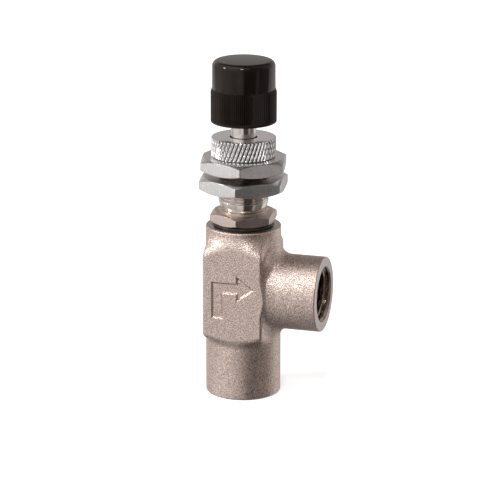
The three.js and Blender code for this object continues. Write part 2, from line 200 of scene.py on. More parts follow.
def thread_span(low, high, angle, radius, depth, pitch, taper=0.0, steps=10):
    """Points up a right-hand thread, from low to high, at one angle. It fades out at both ends."""
    heights = np.linspace(low, high, int(round((high - low) / pitch * steps)) + 1)
    phase = (heights / pitch - angle / TURN) % 1
    cut = np.clip((np.abs(2 * phase - 1) - 0.12) / 0.72, 0, 1)
    fade = np.clip((heights - low) / pitch, 0, 1) * np.clip((high - heights) / pitch, 0, 1)
    return np.stack([radius - taper * (heights - low) - depth * cut * fade, heights], axis=-1)


def cut_away(piece, tools):
    """Subtracts the tools from the piece, one after another, and removes them."""
    for tool in tools:
        modifier = piece.modifiers.new("cut", "BOOLEAN")
        modifier.operation = "DIFFERENCE"
        modifier.solver = "MANIFOLD"
        modifier.object = tool
        graph = bpy.context.evaluated_depsgraph_get()
        mesh = bpy.data.meshes.new_from_object(piece.evaluated_get(graph))
        piece.modifiers.clear()
        piece.data = mesh
        bpy.data.objects.remove(tool)
    piece.data.shade_smooth()
    piece.data.set_sharp_from_angle(angle=math.radians(SHARP))
    return piece


def placed(piece, matrix):
    """Moves a piece's mesh, and leaves its object at the origin."""
    piece.data.transform(matrix)
    return piece


def along_x(reach, height):
    """Lays a shape turned round +Z so that its own height runs along +X, from reach."""
    return Matrix.Translation((reach * MM, 0, height * MM)) @ Matrix.Rotation(math.pi / 2, 4, "Y")


# ---- materials ---------------------------------------------------------------------------

def math_node(tree, operation, *values):
    """Works out one number from others, each of them a socket or a plain value."""
    node = tree.nodes.new("ShaderNodeMath")
    node.operation = operation
    for socket, value in zip(node.inputs, values):
        if isinstance(value, (int, float)):
            socket.default_value = value
        else:
            tree.links.new(value, socket)
    return node.outputs[0]


def map_range(tree, value, start, end, low=0.0, high=1.0, kind="LINEAR"):
    """Spreads the part of a value from start to end over low to high."""
    node = tree.nodes.new("ShaderNodeMapRange")
    node.interpolation_type = kind
    for name, limit in (("From Min", start), ("From Max", end), ("To Min", low), ("To Max", high)):
        node.inputs[name].default_value = limit
    tree.links.new(value, node.inputs["Value"])
    return node.outputs["Result"]


def colour_sockets(mix_node):
    """The two colours that a mix node takes, and the colour that it gives."""
    ends = [socket for socket in mix_node.inputs if socket.type == "RGBA"]
    result = [socket for socket in mix_node.outputs if socket.type == "RGBA"]
    return ends, result[0]


class Look:
    """A procedural material: a shader with the nodes that vary it over the surface."""

    def __init__(self, name, colour, metallic, roughness, **inputs):
        self.material = bpy.data.materials.new(name)
        self.material.use_nodes = True
        self.tree = self.material.node_tree
        self.nodes = self.tree.nodes
        self.shader = self.nodes["Principled BSDF"]
        self.colour = colour
        self.roughness = roughness
        self.height = None
        self.shader.inputs["Metallic"].default_value = metallic
        for key, value in inputs.items():
            self.shader.inputs[key.replace("_", " ")].default_value = value
        self.place = self.nodes.new("ShaderNodeTexCoord").outputs["Object"]

    def link(self, source, target):
        self.tree.links.new(source, target)

    def noise(self, size, detail=2.0, where=None):
        """Noise from 0 to 1 whose lumps are about size millimetres."""
        mapping = self.nodes.new("ShaderNodeMapping")
        mapping.inputs["Scale"].default_value = [1 / (size * MM)] * 3
        self.link(where or self.place, mapping.inputs["Vector"])
        node = self.nodes.new("ShaderNodeTexNoise")
        node.inputs["Scale"].default_value = 1.0
        node.inputs["Detail"].default_value = detail
        self.link(mapping.outputs[0], node.inputs["Vector"])
        return node.outputs["Fac"]

    def round_axis(self, centre, axis):
        """Where a point is, as (distance from an axis, position along it, 0)."""
        shift = self.nodes.new("ShaderNodeVectorMath")
        shift.operation = "SUBTRACT"
        shift.inputs[1].default_value = [c * MM for c in centre]
        self.link(self.place, shift.inputs[0])
        split = self.nodes.new("ShaderNodeSeparateXYZ")
        self.link(shift.outputs[0], split.inputs[0])
        parts = list(split.outputs)
        along = parts.pop("XYZ".index(axis))
        squares = [math_node(self.tree, "MULTIPLY", part, part) for part in parts]
        distance = math_node(self.tree, "SQRT", math_node(self.tree, "ADD", *squares))
        join = self.nodes.new("ShaderNodeCombineXYZ")
        self.link(distance, join.inputs[0])
        self.link(along, join.inputs[1])
        return join.outputs[0]

    def spread(self, noise, low=0.0, high=1.0):
        """Spreads the middle range of a noise, where most of it lies, over low to high."""
        return map_range(self.tree, noise, 0.3, 0.7, low, high)

    def vary_colour(self, noise, dark, light):
        self.mix_colour(self.spread(noise), dark, light)

    def mix_colour(self, share, dark, light):
        """Multiplies the colour by dark where the share is 0, and by light where it is 1."""
        node = self.nodes.new("ShaderNodeMix")
        node.data_type = "RGBA"
        self.link(share, node.inputs["Factor"])
        ends, result = colour_sockets(node)
        for socket, gain in zip(ends, (dark, light)):
            socket.default_value = [min(1, channel * gain) for channel in self.colour] + [1]
        self.link(result, self.shader.inputs["Base Color"])

    def vary_roughness(self, noise, change):
        low, high = self.roughness - change, self.roughness + change
        self.link(self.spread(noise, low, high), self.shader.inputs["Roughness"])

    def bump(self, value, depth):
        """Adds relief of a depth in millimetres."""
        node = self.nodes.new("ShaderNodeBump")
        node.inputs["Strength"].default_value = 1.0
        node.inputs["Distance"].default_value = depth * MM
        self.link(value, node.inputs["Height"])
        if self.height is not None:
            self.link(self.height, node.inputs["Normal"])
        self.height = node.outputs["Normal"]
        self.link(self.height, self.shader.inputs["Normal"])


def blasted_nickel():
    """Nickel over a blasted forging: every grain shows as a light or dark speck."""
    look = Look("blasted_nickel", (0.635, 0.51, 0.455), 1.0, 0.37)
    grain = look.noise(0.21, 0)
    look.vary_colour(grain, 0.52, 1.44)
    look.vary_roughness(look.noise(1.8), 0.04)
    look.bump(grain, 0.085)
    look.bump(look.noise(0.8, 2), 0.015)
    return look.material


def turned_metal(name, colour, roughness, centre=(0, 0, 0), axis="Z", line=0.06):
    """Metal with the fine rings that a lathe tool leaves round an axis, line millimetres apart."""
    look = Look(name, colour, 1.0, roughness)
    rings = look.noise(line, 2, where=look.round_axis(centre, axis))
    look.vary_colour(look.noise(1.2), 0.93, 1.07)
    look.vary_roughness(rings, 0.05)
    look.bump(rings, 0.0025)
    return look.material


def knurl_painted_shade(name, crest, groove):
    """Plating over a knurl, with painted shade down in its grooves and a painted highlight on its
    crests.

    crest and groove are distances from the axis of the ring.
    """
    look = Look(name, (0.80, 0.78, 0.79), 1.0, 0.09)
    reach = look.nodes.new("ShaderNodeSeparateXYZ")
    look.link(look.round_axis((0, 0, 0), "Z"), reach.inputs[0])
    # Painted shade and highlight: the colour runs from dark at the groove radius to bright at the crest
    # radius.
    share = map_range(look.tree, reach.outputs[0], groove * MM, crest * MM)
    look.mix_colour(share, 0.18, 1.2)
    look.vary_roughness(look.noise(0.5), 0.03)
    look.bump(look.noise(0.15, 2), 0.002)
    return look.material


def satin_plate(name, colour, roughness):
    """Plating with a fine even grain."""
    look = Look(name, colour, 1.0, roughness)
    grain = look.noise(0.2, 3)
    look.vary_colour(grain, 0.80, 1.20)
    look.vary_roughness(look.noise(1.5), 0.04)
    look.bump(grain, 0.015)
    return look.material


def black_plastic():
    """Glossy plastic, with a fine texture and the slow waves of a moulded surface."""
    look = Look("black_plastic", (0.005, 0.0030, 0.0024), 0.0, 0.06, Specular_IOR_Level=0.3,
                Specular_Tint=(1.0, 0.82, 0.77, 1))
    look.vary_colour(look.noise(2.0), 0.85, 1.2)
    look.vary_roughness(look.noise(0.8), 0.02)
    look.bump(look.noise(0.3, 2), 0.0012)
    look.bump(look.noise(2.5, 1), 0.006)
    return look.material


def black_rubber():
    look = Look("black_rubber", (0.016, 0.013, 0.012), 0.0, 0.40)
    look.vary_colour(look.noise(0.6), 0.8, 1.3)
    look.vary_roughness(look.noise(0.3), 0.08)
    look.bump(look.noise(0.12, 3), 0.006)
    return look.material


def white_plastic():
    look = Look("white_plastic", (0.74, 0.72, 0.66), 0.0, 0.45)
    look.vary_colour(look.noise(1.0), 0.95, 1.04)
    look.vary_roughness(look.noise(0.4), 0.06)
    look.bump(look.noise(0.1, 2), 0.004)
    return look.material


def dark_steel():
    look = Look("dark_steel", (0.16, 0.15, 0.15), 1.0, 0.34)
    look.vary_colour(look.noise(0.4), 0.8, 1.25)
    look.vary_roughness(look.noise(0.3), 0.06)
    look.bump(look.noise(0.1, 2), 0.003)
    return look.material


BLASTED = blasted_nickel()
FACED = turned_metal("faced_nickel", (0.53, 0.48, 0.47), 0.30, (0, 0, PORT_AXIS), "X")
TAPPED = turned_metal("tapped_nickel", (0.36, 0.28, 0.24), 0.20, line=0.1)
NECK = turned_metal("turned_nickel", (0.66, 0.60, 0.55), 0.08)
# Painted shade: a darker colour for the neck where the nuts shade it.
NECK_PAINTED_SHADE = turned_metal("neck_painted_shade", (0.27, 0.22, 0.19), 0.16)
PLATE = satin_plate("bright_plate", (0.69, 0.67, 0.67), 0.23)
GLAND = satin_plate("gland_nickel", (0.60, 0.50, 0.45), 0.31)
RING = turned_metal("ring_plate", (0.80, 0.78, 0.79), 0.06)
# The knurl's colour holds painted shade in the grooves and a painted highlight on the crests.
KNURL_PAINTED_SHADE = knurl_painted_shade("knurl_painted_shade", 7.54, 7.26)
STAINLESS = turned_metal("stainless", (0.60, 0.56, 0.53), 0.09)
BRASS = turned_metal("plain_brass", (0.60, 0.44, 0.19), 0.22)
BLACK_PLASTIC = black_plastic()
RUBBER = black_rubber()
WHITE_PLASTIC = white_plastic()
DARK_STEEL = dark_steel()


def finish_piece(piece, nodes, body, slot, *materials):
    """Gives a piece its materials, ties it to its body and hides the CAD nodes it stands for. The slot
    is not used.
    """
    mesh = piece.data
    mesh.materials.clear()
    for material in materials:
        mesh.materials.append(material)
    mesh.polygons.foreach_set("material_index", np.zeros(len(mesh.polygons), np.int32))
    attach(piece, body)
    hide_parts(*nodes)
    return piece


def polygon_centres(piece):
    """The middle of each polygon of a piece, in millimetres."""
    count = len(piece.data.polygons)
    centres = np.zeros(count * 3, np.float32)
    piece.data.polygons.foreach_get("center", centres)
    return centres.reshape(-1, 3) / MM


# ---- the forged body ---------------------------------------------------------------------

def round_join(first, second, radius):
    """The distance field of two shapes joined by a fillet."""
    reach_first = np.maximum(radius - first, 0)
    reach_second = np.maximum(radius - second, 0)
    return np.maximum(radius, np.minimum(first, second)) - np.hypot(reach_first, reach_second)


def round_meet(first, second, radius):
    """The distance field of what two shapes share, with its edge rounded."""
    return -round_join(-first, -second, radius)


def upright_field(from_stem, z):
    """The round bar round the stem, longer than the boss by what is machined off its ends."""
    half = BODY_TOP / 2
    return np.maximum(from_stem - BOSS_RADIUS, np.abs(z - half) - half - FACING)


def barrel_field(x, y, z):
    """The side boss, which flares out towards its root."""
    root, reach, height = 6.5, 5, 0.9
    flare = height * np.clip(1 - (x - root) / reach, 0, 1) ** 2
    barrel = np.hypot(y, z - PORT_AXIS) - BOSS_RADIUS - flare
    return np.maximum(barrel, np.maximum(-x, x - PORT_FACE - FACING))


def cone(from_stem, below, spread):
    """The distance field of a cone which leaves the boss's wall, and widens by spread per mm."""
    return (from_stem - BOSS_RADIUS - below * spread) / math.hypot(1, spread)


def block_field(x, y, z, from_stem):
    """The square block with its two pads, cut above and below by cones round the stem."""
    outline = round_meet(np.abs(x) - PAD_HALF_WIDTH, np.abs(y) - PAD_DEPTH, 0.75)
    roof = cone(from_stem, ROOF_TOP - z, 0.94)
    underside = cone(from_stem, z - ROOF_BOTTOM, 1.8)
    return round_meet(outline, np.maximum(roof, underside), 0.9)


def forging_field(x, y, z):
    """The distance field of the forging, before any machining."""
    from_stem = np.hypot(x, y)
    block = block_field(x, y, z, from_stem)
    field = round_join(upright_field(from_stem, z), block, BLEND)
    away = np.clip((np.abs(z - PORT_AXIS) - BLEND_START) / BLEND_REACH, 0, 1)
    barrel_blend = BLEND + BLEND_GROWTH * away
    field = round_join(field, barrel_field(x, y, z), barrel_blend)
    return np.maximum(field, np.abs(y) - PAD_DEPTH)


def forging():
    """The mesh of the forging, from its distance field on a grid."""
    margin = 1.6
    axes = []
    for low, high in zip(BODY_LOW, BODY_HIGH):
        axes.append(np.arange(low - margin, high + margin, FORGING_STEP, dtype=np.float32))
    x, y, z = np.meshgrid(*axes, indexing="ij", sparse=True)
    field = forging_field(x, y, z).astype(np.float32)
    grid = openvdb.FloatGrid()
    grid.copyFromArray(field)
    points, triangles, quads = grid.convertToPolygons(isovalue=0.0)
    start = np.array([axis[0] for axis in axes])
    vertices = points * FORGING_STEP + start
    faces = quads.tolist() + triangles.tolist()
    return make_mesh("valve_body_forging", vertices, faces)


def facing_tool(radius, edge):
    """Turns a boss's end face flat at height 0, and rounds its rim."""
    over = 3.0
    steps = 5
    corners = [(0, 0, 0), (radius - edge, 0, 0)]
    for step in range(1, steps + 1):
        angle = math.pi / 2 * step / steps
        corners.append((radius - edge + edge * math.sin(angle), edge * math.cos(angle) - edge, 0))
    corners += [(radius + over, -edge, 0), (radius + over, over, 0), (0, over, 0)]
    return turned("facing_tool", corners, 160)


def port_tool(depth):
    """A taper tap with its countersink: the port's mouth is at height 0, and it runs up."""
    over = 2

    def section(angle):
        thread = thread_span(0, depth, angle, PIPE_MAJOR, PIPE_DEPTH, PIPE_PITCH, PIPE_TAPER, 14)
        countersink = PORT_MOUTH - thread[:, 1]
        thread[:, 0] = np.maximum(thread[:, 0], countersink)
        start = [[0, -over], [PORT_MOUTH, -over]]
        end = [[0, depth]]
        return np.vstack([start, thread, end])
    return swept("port_tool", section, even_angles(120))


def bore_tool(corners, facets=96):
    return turned("bore_tool", [(radius, height, 0) for radius, height in corners], facets)


def drill(radius, low, high, facets=96):
    return bore_tool([(0, low), (radius, low), (radius, high), (0, high)], facets)


def arrow_tool():
    """A cutter for the generic flow arrow in the pad: up, then out towards the outlet."""
    left, right = -5.1, -2.3
    foot, under, over = 20.4, 26.7, 29.5
    neck, tip, wing = 1.0, 5.5, 1.9
    middle = (under + over) / 2
    outline = [
        (left, foot), (right, foot), (right, under), (neck, under), (neck, under - wing),
        (tip, middle), (neck, over + wing), (neck, over), (left, over),
    ]
    depth, draft, clear = 0.42, 0.42, 1
    count = len(outline)
    outer = [(x, -PAD_DEPTH - clear, z) for x, z in outline]
    flush = [(x, -PAD_DEPTH, z) for x, z in outline]
    inner = []
    for index, (x, z) in enumerate(outline):
        before = np.array(outline[index - 1])
        after = np.array(outline[(index + 1) % count])
        here = np.array([x, z])
        back, ahead = unit(before - here), unit(after - here)
        turn = back[0] * ahead[1] - back[1] * ahead[0]
        moved = here - (back + ahead) * draft / turn
        inner.append((moved[0], -PAD_DEPTH + depth, moved[1]))
    vertices = outer + flush + inner
    bar, shaft, head = (0, 1, 2, 8), (2, 3, 7, 8), [(3, 4, 5), (3, 5, 7), (5, 6, 7)]
    faces = []
    for patch in [bar, shaft] + head:
        faces.append(list(patch))
        faces.append([2 * count + corner for corner in reversed(patch)])
    for ring in (0, count):
        for index in range(count):
            after = (index + 1) % count
            faces.append([ring + index, ring + index + count, ring + after + count, ring + after])
    return make_mesh("arrow_tool", vertices, faces)


def valve_body():
    piece = forging()
    upside_down = Matrix.Rotation(math.pi, 4, "X")
    throat, seat_bore, chamber, spigot_bore, seal_recess = 3.8, 5.1, 5.9, 6.4, 7.4
    throat_bottom, seat_bottom, seat_top, chamber_top = 11, 15.3, 17.5, 31
    recess_bottom = BODY_TOP - 0.35
    over = BODY_TOP + 2
    stem_bore = bore_tool([
        (0, throat_bottom), (throat, throat_bottom), (throat, seat_bottom), (seat_bore, seat_bottom),
        (seat_bore, seat_top), (chamber, seat_top), (chamber, chamber_top), (spigot_bore, chamber_top),
        (spigot_bore, recess_bottom), (seal_recess, recess_bottom), (seal_recess, over), (0, over),
    ])
    to_outlet = along_x(PORT_FACE, PORT_AXIS)
    outlet_bore, outlet_reach = 4, 10.5
    tools = [
        placed(facing_tool(BOSS_RADIUS, 0.45), upside_down),
        placed(facing_tool(BOSS_RADIUS, 0.3), Matrix.Translation((0, 0, BODY_TOP * MM))),
        placed(facing_tool(BOSS_RADIUS, 0.3), to_outlet),
        port_tool(INLET_DEPTH),
        stem_bore,
        placed(drill(outlet_bore, 0, outlet_reach), along_x(0, PORT_AXIS)),
        placed(port_tool(OUTLET_DEPTH), to_outlet @ Matrix.Rotation(math.pi, 4, "Y")),
        arrow_tool(),
    ]
    cut_away(piece, tools)
    finish_piece(piece, ["valve_body"], "body", "blasted_nickel", BLASTED, FACED, TAPPED)
    mark_machined(piece)
    return piece


def mark_machined(piece):
    """Machined faces and tapped bores get the finishes that the tools leave."""
    x, y, z = polygon_centres(piece).T
    near = 0.002
    stem_bores = 6.9
    outlet_bores = 6.8
    outlet_root = 8
    from_stem = np.hypot(x, y)
    from_outlet = np.hypot(y, z - PORT_AXIS)
    faced = (np.abs(x - PORT_FACE) < near) | (np.abs(z) < near) | (np.abs(z - BODY_TOP) < near)
    in_outlet = (from_outlet < outlet_bores) & (x > outlet_root) & (x < PORT_FACE - near)
    bored = (from_stem < stem_bores) | in_outlet
    slots = np.where(faced, 1, np.where(bored, 2, 0)).astype(np.int32)
    piece.data.polygons.foreach_set("material_index", slots)


# ---- bonnet, gasket, nuts and ring -------------------------------------------------------

def hexagon_radius(angle, flats, corner_angle, rounding):
    """How far the wall of a hexagon with rounded corners is, in one direction."""
    sixth = math.pi / 3
    half = sixth / 2
    away = abs((angle - corner_angle + half) % sixth - half)
    from_flat = half - away
    apothem = flats / 2
    straight = (apothem - rounding) * math.tan(half)
    if apothem * math.tan(from_flat) <= straight:
        return apothem / math.cos(from_flat)
    corner = (apothem - rounding) / math.cos(half)
    return corner * math.cos(away) + math.sqrt(rounding ** 2 - (corner * math.sin(away)) ** 2)


def hexagon_angles(corner_angle):
    """Even angles, with more of them round each corner of a hexagon."""
    near_corner = np.radians([-2.4, -1.8, -1.2, -0.8, -0.4, 0, 0.4, 0.8, 1.2, 1.8, 2.4])
    clear = math.radians(3)
    angles = list(even_angles(144))
    for corner in range(6):
        middle = (corner_angle + corner * math.pi / 3) % TURN
        angles = [a for a in angles if abs((a - middle + math.pi) % TURN - math.pi) > clear]
        angles += list((middle + near_corner) % TURN)
    return np.array(sorted(angles))


NUT_EDGE = 0.07
NUT_CORNER = 0.35
CHAMFER_SLOPE = 0.5


def hexagon_wall(flats, bottom, top, angle, corner_angle, start):
    """The outside of a chamfered hexagon at one angle, from its lower face to its upper one."""
    wall = hexagon_radius(angle, flats, corner_angle, NUT_CORNER)
    rise = (wall - start) * CHAMFER_SLOPE
    return [
        (start, bottom, NUT_EDGE),
        (wall, bottom + rise, NUT_EDGE),
        (wall, top - rise, NUT_EDGE),
        (start, top, NUT_EDGE),
    ]


def panel_nut(name, node, body, corner_degrees):
    low, high = box_mm(node)
    corner_angle = math.radians(corner_degrees)
    flats = 19.5
    bore = NECK_RADIUS + 0.08
    chamfer = 0.25
    mouth = bore + chamfer
    face = flats / 2 - 0.22

    def section(angle):
        corners = [(mouth, low.z, 0)]
        corners += hexagon_wall(flats, low.z, high.z, angle, corner_angle, face)
        corners += [(mouth, high.z, 0), (bore, high.z - chamfer, 0), (bore, low.z + chamfer, 0)]
        return rounded(corners)
    piece = swept(name, section, hexagon_angles(corner_angle))
    return finish_piece(piece, [node], body, "bright_plate", PLATE)


def bonnet():
    """The gland hexagon, the undercut and the long threaded neck."""
    nose, hex_bottom, hex_top, undercut_top, neck_top = 31.2, 42.2, 45.1, 47.1, 61.5
    spigot, hex_flats, hex_face, undercut = 6.3, 14.5, 6.8, 5.55
    collar = undercut + 0.45
    stop_bore, stop_seat = 5.0, 33
    seal_bore, thread_bore, thread_start, thread_end = 3.97, 3.47, 44.5, 56.6
    stem_hole, bush_bore, bush_seat = 3.1, 4.6, 57.5
    corner_angle = math.radians(33.2)
    thread_low, thread_high = 47.55, neck_top - 0.3

    def section(angle):
        """The outside up to the thread, the thread, and the bores down to the start again.

        The last rounding below the thread turns towards the bore, so the undercut is a little
        conical and has a bead at its foot.
        """
        below = [
            (seal_bore, stop_seat, 0), (stop_bore, stop_seat, 0), (stop_bore, nose, 0),
            (spigot - 0.2, nose, 0), (spigot, nose + 0.2, 0), (spigot, hex_bottom, 0),
        ]
        below += hexagon_wall(hex_flats, hex_bottom, hex_top, angle, corner_angle, hex_face)
        below += [
            (collar, hex_top, 0), (collar, hex_top + 0.2, 0), (undercut, hex_top + 0.3, 0),
            (undercut, undercut_top, 0.1),
        ]
        thread = thread_span(thread_low, thread_high, angle, NECK_RADIUS, NECK_THREAD_DEPTH, NECK_PITCH)
        chamfer = NECK_RADIUS - 0.35 + (thread_high - thread[:, 1])
        thread[:, 0] = np.minimum(thread[:, 0], chamfer)
        bores = np.array([
            (NECK_RADIUS - 0.5, neck_top), (bush_bore, neck_top), (bush_bore, bush_seat),
            (stem_hole, bush_seat), (stem_hole, thread_end), (thread_bore, thread_end),
            (thread_bore, thread_start), (seal_bore, thread_start),
        ])
        return np.vstack([rounded(below), thread, bores])
    piece = swept("bonnet_turned", section, hexagon_angles(corner_angle))
    finish_piece(piece, ["bonnet"], "body", "turned_nickel", NECK, GLAND, NECK_PAINTED_SHADE)
    heights = polygon_centres(piece)[:, 2]
    low_nut_bottom = 50.2
    near, collar_height = 0.01, 0.25
    hexagonal = (heights > hex_bottom - near) & (heights < hex_top + collar_height)
    # Painted shade: from the lower nut's bottom up, the neck gets the darker colour that stands for the
    # shade between and inside the nuts.
    threaded = heights > low_nut_bottom
    slots = np.where(hexagonal, 1, np.where(threaded, 2, 0)).astype(np.int32)
    piece.data.polygons.foreach_set("material_index", slots)
    return piece


def bonnet_gasket():
    low, high = box_mm("bonnet_gasket")
    inner, outer = 6.45, high.x
    piece = turned("bonnet_seal_ring", [
        (inner, low.z, 0), (outer, low.z, 0.22), (outer, high.z, 0.22), (inner, high.z, 0),
    ], 128)
    return finish_piece(piece, ["bonnet_gasket"], "body", "black_rubber", RUBBER)


def ridge(turns):
    """A row of ridges, one for each whole turn: 0 in a groove and 1 on a crest."""
    return 1 - np.abs(2 * (turns % 1) - 1)


def lock_ring():
    """A ring with a crossed knurl, whose deeper grooves lean to the right."""
    low, high = box_mm("lock_ring")
    radius = high.x
    teeth = 48
    samples = 10
    pitch = TURN * radius / teeth
    rise = pitch / math.tan(math.radians(21))
    depth, shallow_share = 0.46, 0.45
    low_chamfer, high_chamfer = 0.3, 0.12
    bore, hole, web = 6.08, 3.3, 61.7
    inset = 0.02

    def section(angle):
        heights = np.arange(low.z + inset, high.z - inset, pitch / samples)
        leaning_right = ridge(heights / rise - angle * teeth / TURN)
        leaning_left = ridge(heights / rise + angle * teeth / TURN)
        deep = depth * np.clip(1 - 1.4 * leaning_right, 0, 1)
        shallow = shallow_share * depth * np.clip(1 - 2.2 * leaning_left, 0, 1)
        wall = radius - np.maximum(deep, shallow)
        wall = np.minimum(wall, radius - low_chamfer + heights - low.z)
        wall = np.minimum(wall, radius - high_chamfer + high.z - heights)
        side = np.stack([wall, heights], axis=-1)
        start = [[bore, low.z], [radius - low_chamfer, low.z]]
        end = rounded([
            (radius - 0.4, high.z, 0), (hole + 0.08, high.z, 0.03), (hole, high.z - 0.08, 0.03),
            (hole, web, 0), (bore, web, 0),
        ])
        return np.vstack([start, side, end])
    piece = swept("lock_ring_knurled", section, even_angles(teeth * samples), 24, low_diagonal=True)
    finish_piece(piece, ["lock_ring"], "lock_ring", "bright_plate", RING, KNURL_PAINTED_SHADE)
    x, y, z = polygon_centres(piece).T
    near = 0.03
    outside = np.hypot(x, y) > (bore + radius) / 2
    between = (z > low.z + near) & (z < high.z - near)
    # The knurled side gets the knurl material, with its painted shade and highlight.
    piece.data.polygons.foreach_set("material_index", (outside & between).astype(np.int32))
    return piece


# ---- knob and stem -----------------------------------------------------------------------

SCREW_ANGLE = math.radians(120)
SCREW_HEIGHT = 71.0
SCREW_RADIUS = 1.42


def screw_place():
    """Turns a shape made round +Z to lie along the set screw, pointing outward."""
    return (Matrix.Translation((0, 0, SCREW_HEIGHT * MM)) @ Matrix.Rotation(SCREW_ANGLE, 4, "Z")
            @ Matrix.Rotation(math.pi / 2, 4, "Y"))


def knob():
    """A fluted skirt with a smooth cap above it, hollow underneath."""
    low, high = box_mm("knob")
    skirt = high.x
    top = high.z - 0.2
    flutes, flute_depth, flute_start = 96, 0.19, 0.25
    samples = 8
    step, cap, draft = 74.5, 7.5, 0.06
    hub_bore, hub_end, recess, recess_end = 4.7, 78.9, 5.8, 69
    heights = np.array([flute_start, 0.4, 0.6, 0.9, 2.4, 4.0, 5.6, 7.2])
    fade = np.clip((heights - flute_start) / 0.4, 0, 1)

    def section(angle):
        wave = abs(2 * ((angle * flutes / TURN) % 1) - 1)
        cut = flute_depth * min(1.0, max(0.0, (wave - 0.2) / 0.7))
        skirt_side = np.stack([skirt - cut * fade, low.z + heights], axis=-1)
        inside = rounded([
            (0, hub_end, 0), (hub_bore, hub_end, 0), (hub_bore, recess_end, 0),
            (recess, recess_end, 0), (recess, low.z, 0.1),
            (skirt - 0.02, low.z, 0.2), (skirt, low.z + 0.6, 0),
        ])[:-1]
        crown = rounded([
            (skirt - cut, step, 0.14), (cap - draft, step, 0), (cap, step + 0.15, 0),
            (cap - draft, top, 1.4), (0, top, 0),
        ], 8)
        return np.vstack([inside, skirt_side, crown])
    piece = swept("knob_moulded", section, even_angles(flutes * samples), 30)
    tool = placed(drill(SCREW_RADIUS + 0.1, 2.7, 9, 32), screw_place())
    cut_away(piece, [tool])
    return finish_piece(piece, ["knob"], "needle", "black_plastic", BLACK_PLASTIC)


def knob_insert():
    """A bush with a toothed outside above its plain flange, which grips the knob."""
    low, high = box_mm("knob_insert")
    teeth = 40
    bore, flange = 3.1, 4.55

    def section(angle):
        tooth = abs(2 * ((angle * teeth / TURN) % 1) - 1) * 0.15
        grip = 4.6 - tooth
        return np.array([
            (bore, low.z), (4.2, low.z), (flange, low.z + 0.35), (flange, low.z + 1.6),
            (grip, low.z + 1.9), (grip, high.z - 0.4), (4.3, high.z), (bore, high.z),
        ])
    piece = swept("knob_insert_bush", section, even_angles(teeth * 4))
    tool = placed(drill(SCREW_RADIUS + 0.08, 0, 6, 32), screw_place())
    cut_away(piece, [tool])
    return finish_piece(piece, ["knob_insert"], "needle", "plain_brass", BRASS)


def knob_set_screw():
    """A headless screw with a flat point and a hexagon socket."""
    def section(angle):
        thread = thread_span(3.1, 6.3, angle, SCREW_RADIUS, 0.2, 0.5)
        return np.vstack([[[0, 2.7], [1.0, 2.7]], thread, [[1.25, 6.6], [0, 6.6]]])
    piece = swept("knob_set_screw_thread", section, even_angles(48))
    socket = bore_tool([(0, 5.0), (0.85, 5.3), (0.85, 7), (0, 7)], 6)
    cut_away(piece, [socket])
    placed(piece, screw_place())
    return finish_piece(piece, ["knob_set_screw"], "needle", "spring_steel", DARK_STEEL)


def screw_flat():
    """A cutter for the flat that the set screw presses on."""
    bpy.ops.mesh.primitive_cube_add(size=MM)
    tool = bpy.context.active_object
    depth, width, length = 2, 8, 12
    size = Matrix.Diagonal((depth, width, length, 1))
    shift = Matrix.Translation((3.6 * MM, 0, 75.0 * MM))
    return placed(tool, Matrix.Rotation(SCREW_ANGLE, 4, "Z") @ shift @ size)


def stem():
    """The stem: seal section with its groove, fine thread, and the plain shank in the knob."""
    low, high = box_mm("stem")
    seal, seal_top, chamfer = 3.9, 42.9, 0.3
    groove, groove_low, groove_high = 2.85, 38, 40.4
    socket, socket_end = 1.72, 40.1
    end_chamfer = 0.4
    lower = rounded([
        (0, socket_end, 0), (socket, socket_end, 0), (socket, low.z, 0),
        (seal - chamfer, low.z, 0), (seal, low.z + chamfer, 0),
        (seal, groove_low, 0.05), (groove, groove_low, 0), (groove, groove_high, 0),
        (seal, groove_high, 0.05), (seal, seal_top, 0.1),
        (STEM_RADIUS, seal_top, 0), (STEM_RADIUS, 45.5, 0),
    ])
    shank = [(STEM_RADIUS, height) for height in (55, 58, 62, 66, 69.9, high.z - end_chamfer)]
    end = [(STEM_RADIUS - end_chamfer, high.z), (0, high.z)]

    def section(angle):
        thread = thread_span(45.7, 54.9, angle, 3.4, 0.4, NECK_PITCH)
        return np.vstack([lower, thread, shank, end])
    piece = swept("stem_turned", section, even_angles(96))
    cut_away(piece, [screw_flat()])
    return finish_piece(piece, ["stem"], "needle", "stainless", STAINLESS)


# ---- inside the valve --------------------------------------------------------------------

def needle_tip():
    low, high = box_mm("needle_tip")
    radius, taper_top = 1.66, 20.6
    piece = turned("needle_tip_ground", [
        (0, low.z, 0), (0.3, low.z, 0.08), (radius, taper_top, 0.5), (radius, high.z, 0), (0, high.z, 0),
    ], 64)
    return finish_piece(piece, ["needle_tip"], "needle", "stainless", STAINLESS)


def seat_ring():
    low, high = box_mm("seat_ring")
    inner, outer, chamfer = 3.7, 4.99, 0.3
    piece = turned("seat_ring_turned", [
        (inner, low.z, 0.1), (outer, low.z, 0.05), (outer, high.z - chamfer, 0.03),
        (outer - chamfer, high.z, 0.05), (inner + 0.2, high.z, 0.05), (inner, high.z - 0.2, 0.03),
    ])
    return finish_piece(piece, ["seat_ring"], "body", "stainless", STAINLESS)


